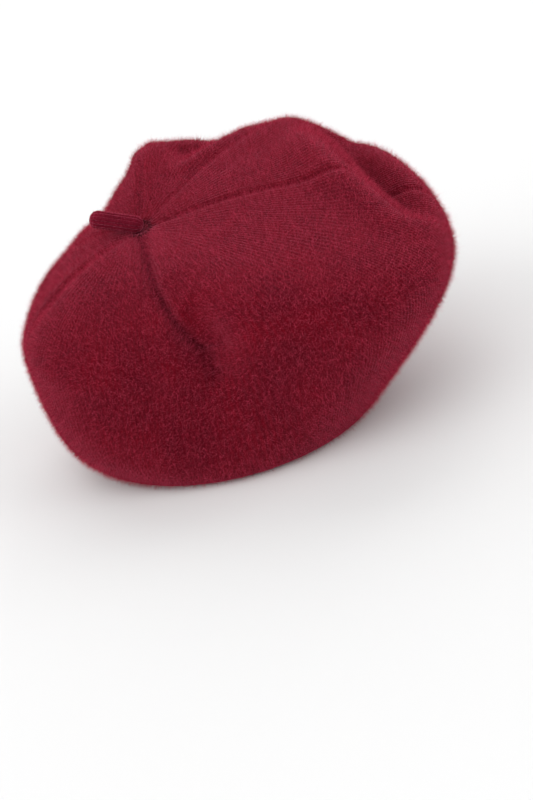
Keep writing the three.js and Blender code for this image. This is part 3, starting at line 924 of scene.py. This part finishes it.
def maker_label_stitches():
    """Six running stitches down each end of the label."""
    stitches = 6
    phase = np.linspace(0, stitches, 8 * stitches + 1)
    height = MAKER_TOP - 1 - phase / stitches * (MAKER_TOP - MAKER_LOW - 2)
    for side, label in ((-1, "label_stitch_right"), (1, "label_stitch_left")):
        azimuth = MAKER_AZIMUTH + side * (MAKER_HALF_ANGLE - math.radians(1.2))
        depth = MAKER_DEPTH + 0.55 * np.cos(2 * math.pi * phase)
        path = layer(azimuth, height, depth)
        yarn(f"{label}_yarn", path, 0.25, [label], sides=6, pitch=0.001)


def care_label():
    """The loose ribbon flap: it bows a little along its length and its lower corners lift."""
    half_width, top_height, low_height, top_depth, low_depth = 9.0, 25.0, 7.0, 9.6, 11.4
    turns = np.radians(185) + np.array([0.0, 0.0, 0.05, -0.05])
    heights = np.array([top_height, low_height, top_height, top_height])
    depths = np.array([top_depth, low_depth, top_depth, top_depth])
    top, low, ahead, behind = layer(turns, heights, depths)
    length = np.linalg.norm(low - top)
    down = (low - top) / length
    face = unit(np.cross(ahead - behind, down))
    across = np.cross(down, face)
    u = np.linspace(-half_width, half_width, 30)[:, None]
    v = np.linspace(0, length, 32)[None, :]
    u, v = np.broadcast_arrays(u, v)
    bow = 0.5 * np.sin(math.pi * v / length) + 0.5 * (u / half_width) ** 2 * (v / length) ** 2
    front = top + u[..., None] * across + v[..., None] * down + (0.3 + bow)[..., None] * face
    normals = np.broadcast_to(face, front.shape)
    tape("care_label_tape", front, 0.35, normals, u, v, ["care_label"], CARE_BODY)


maker_label()
maker_label_stitches()
care_label()

# ---- the nap: fibres brushed up out of the knit ----

RANDOM = np.random.default_rng(7)
# How far a fibre starts inside the fabric, and how sharply it bends at a joint.
FIBRE_ROOT = 0.3
FIBRE_BEND = 0.8
FLOOR_CLEARANCE = 0.1


def scatter(azimuth_range, station_range, per_mm2):
    """Random spots spread evenly over a patch of the surface."""
    rows, columns = 90, 70
    azimuth = np.linspace(*azimuth_range, rows)[:, None]
    station = np.linspace(*station_range, columns)[None, :]
    corner = outer_point(azimuth, station)
    across, down = np.diff(corner, axis=0)[:, :-1], np.diff(corner, axis=1)[:-1]
    area = np.linalg.norm(np.cross(across, down), axis=-1).ravel()
    count = int(area.sum() * per_mm2)
    cell = RANDOM.choice(area.size, count, p=area / area.sum())
    i, j = np.divmod(cell, columns - 1)
    u, v = RANDOM.random(count), RANDOM.random(count)
    spots_azimuth = azimuth[i, 0] + u * (azimuth[1, 0] - azimuth[0, 0])
    spots_station = station[0, j] + v * (station[0, 1] - station[0, 0])
    return spots_azimuth, spots_station


def fibre_mesh(name, foot, normal, length, half_width, tilt, shares, joints=0):
    """Tapering fibres: closed three-sided spikes, straight or with joints where they bend."""
    count = len(foot)
    drift = RANDOM.normal(size=(count, 3))
    drift = unit(drift - (drift * normal).sum(-1, keepdims=True) * normal)
    ahead = unit(normal * np.cos(tilt)[:, None] + drift * np.sin(tilt)[:, None])
    side = unit(np.cross(ahead, RANDOM.normal(size=(count, 3))))
    other = np.cross(ahead, side)
    points, centre = [], foot - ahead * FIBRE_ROOT
    for joint in range(joints + 1):
        half = half_width * (1 - 0.3 * joint)
        for angle in (0, 2 * math.pi / 3, 4 * math.pi / 3):
            spoke = side * math.cos(angle) + other * math.sin(angle)
            points.append(centre + spoke * half)
        centre = centre + ahead * (length / (joints + 1))[:, None]
        ahead = unit(ahead + FIBRE_BEND * unit(RANDOM.normal(size=(count, 3))))
    points.append(centre)
    points = np.stack(points, 1)
    # fibres that reach the floor lie along it
    points[..., 2] = np.maximum(points[..., 2], FLOOR_CLEARANCE)
    each = 3 * (joints + 1)
    pattern = [(2, 1, 0)]
    for start in range(0, each - 3, 3):
        pattern += [(start + k, start + (k + 1) % 3, start + (k + 1) % 3 + 3) for k in range(3)]
        pattern += [(start + k, start + (k + 1) % 3 + 3, start + k + 3) for k in range(3)]
    pattern += [(each - 3 + k, each - 3 + (k + 1) % 3, each) for k in range(3)]
    faces = (np.arange(count)[:, None, None] * (each + 1) + np.array(pattern)[None]).reshape(-1, 3)
    obj = new_mesh(name, points.reshape(-1, 3), faces, smooth=False)
    for material in FIBRES:
        obj.data.materials.append(material)
    tone = RANDOM.choice(3, count, p=shares).repeat(len(pattern))
    obj.data.polygons.foreach_set("material_index", tone)
    return obj


SIDE_PARTS = 6
# Each kind of nap: name, fibres per square millimetre, length, half width, tilt, joints, and
# the shares of deep, middle and light fibres; the longer kinds take more of the light ones,
# painted light for the bright veil at the edges of the fuzz.
NAP = [
    ("short", 2.2, (0.9, 2.0), 0.085, (0.2, 1.15), 0, (0.50, 0.42, 0.08)),
    ("long", 1.2, (2.4, 5.0), 0.07, (0.0, 0.95), 0, (0.12, 0.48, 0.40)),
    ("stray", 0.14, (4.2, 7.5), 0.065, (0.1, 0.9), 2, (0.0, 0.3, 0.7)),
]


def nap(name, azimuth_range, station_range):
    """All kinds of nap over one patch of the outer face."""
    for kind, density, lengths, half_width, tilts, joints, shares in NAP:
        azimuth, station = scatter(azimuth_range, station_range, density)
        foot = outer_point(azimuth, station)
        normal = outer_normal(azimuth, station)
        count = len(foot)
        length = RANDOM.uniform(*lengths, count)
        tilt = RANDOM.uniform(*tilts, count)
        piece = f"{name}_nap_{kind}"
        obj = fibre_mesh(piece, foot, normal, length, half_width, tilt, shares, joints)
        declare(obj, CROWN, [])


for number in range(len(SEAMS)):
    nap(f"crown_gore_{number + 1}", gore_span(number), (0.05, 1.0))
for part in range(SIDE_PARTS):
    start = CLOSING + part * 2 * math.pi / SIDE_PARTS
    nap(f"side_panel_{part + 1}", (start, start + 2 * math.pi / SIDE_PARTS), (1.0, 1.97))


def stalk_nap():
    """Short fuzz on the stalk."""
    count = 1400
    angle = RANDOM.uniform(0, 2 * math.pi, count)
    along = RANDOM.uniform(-1.0, STALK_LENGTH - 0.2, count)
    foot = stalk_point(angle, along)
    normal = unit(stalk_point(angle, along, lift=1.0) - foot + STALK_LEAN * 1e-6)
    length, tilt = RANDOM.uniform(0.7, 2.0, count), RANDOM.uniform(0.3, 1.4, count)
    obj = fibre_mesh("stalk_nap", foot, normal, length, 0.06, tilt, (0.4, 0.4, 0.2))
    declare(obj, STALK_BODY, [])


stalk_nap()

# ---- floor, light and camera ----


def studio_floor():
    """A wide, matt white floor, just under the hem."""
    material = bpy.data.materials.new("studio_floor")
    material.use_nodes = True
    shader = material.node_tree.nodes["Principled BSDF"]
    shader.inputs["Base Color"].default_value = (0.76, 0.76, 0.76, 1)
    shader.inputs["Roughness"].default_value = 1.0
    shader.inputs["Specular IOR Level"].default_value = 0.0
    mesh = bpy.data.meshes.new("studio_floor")
    size, height = 60.0, -0.0005
    corners = [(-size, -size), (size, -size), (size, size), (-size, size)]
    mesh.from_pydata([(x, y, height) for x, y in corners], [], [(0, 1, 2, 3)])
    floor = bpy.data.objects.new("studio_floor", mesh)
    mesh.materials.append(material)
    bpy.context.scene.collection.objects.link(floor)


def soft_sun(name, direction, strength, spread):
    """A broad, even light that shines along a direction."""
    data = bpy.data.lights.new(name, "SUN")
    data.energy = strength
    data.angle = math.radians(spread)
    light = bpy.data.objects.new(name, data)
    light.rotation_euler = Vector(direction).to_track_quat("-Z", "Y").to_euler()
    bpy.context.scene.collection.objects.link(light)


def studio_world():
    """Even light from all round."""
    world = bpy.data.worlds.new("studio")
    world.use_nodes = True
    back = world.node_tree.nodes["Background"]
    back.inputs["Color"].default_value = (1, 1, 1, 1)
    back.inputs["Strength"].default_value = 0.6
    # the camera sees plain white behind the floor, so that no horizon shows
    tree = world.node_tree
    white = node(tree, "ShaderNodeBackground")
    white.inputs["Strength"].default_value = 1.0
    white.inputs["Color"].default_value = (1, 1, 1, 1)
    mix = node(tree, "ShaderNodeMixShader")
    tree.links.new(node(tree, "ShaderNodeLightPath").outputs["Is Camera Ray"], mix.inputs[0])
    tree.links.new(back.outputs[0], mix.inputs[1])
    tree.links.new(white.outputs[0], mix.inputs[2])
    tree.links.new(mix.outputs[0], tree.nodes["World Output"].inputs[0])
    bpy.context.scene.world = world


ELEVATION = math.radians(26)
ROLL = math.radians(16)
DISTANCE = 0.672


def photo_camera():
    data = bpy.data.cameras.new("camera")
    data.lens = 50
    data.sensor_width = 36
    data.shift_x = 30 / 800
    data.shift_y = 8 / 800
    camera = bpy.data.objects.new("camera", data)
    camera.location = (0, -DISTANCE * math.cos(ELEVATION), DISTANCE * math.sin(ELEVATION))
    tilt = Matrix.Rotation(math.pi / 2 - ELEVATION, 3, "X")
    roll = Matrix.Rotation(-ROLL, 3, "Z")
    camera.rotation_euler = (tilt @ roll).to_euler()
    bpy.context.scene.collection.objects.link(camera)
    bpy.context.scene.camera = camera


studio_floor()
studio_world()
soft_sun("key", (0.35, 0.45, -1.0), 0.6, 60)
soft_sun("from_left", (1.0, 0.15, -0.3), 1.7, 70)
soft_sun("from_right", (-1.0, 0.15, -0.2), 1.8, 70)
soft_sun("from_behind", (0.0, -1.0, -0.5), 1.8, 70)
photo_camera()
bpy.context.scene.view_settings.view_transform = "Standard"
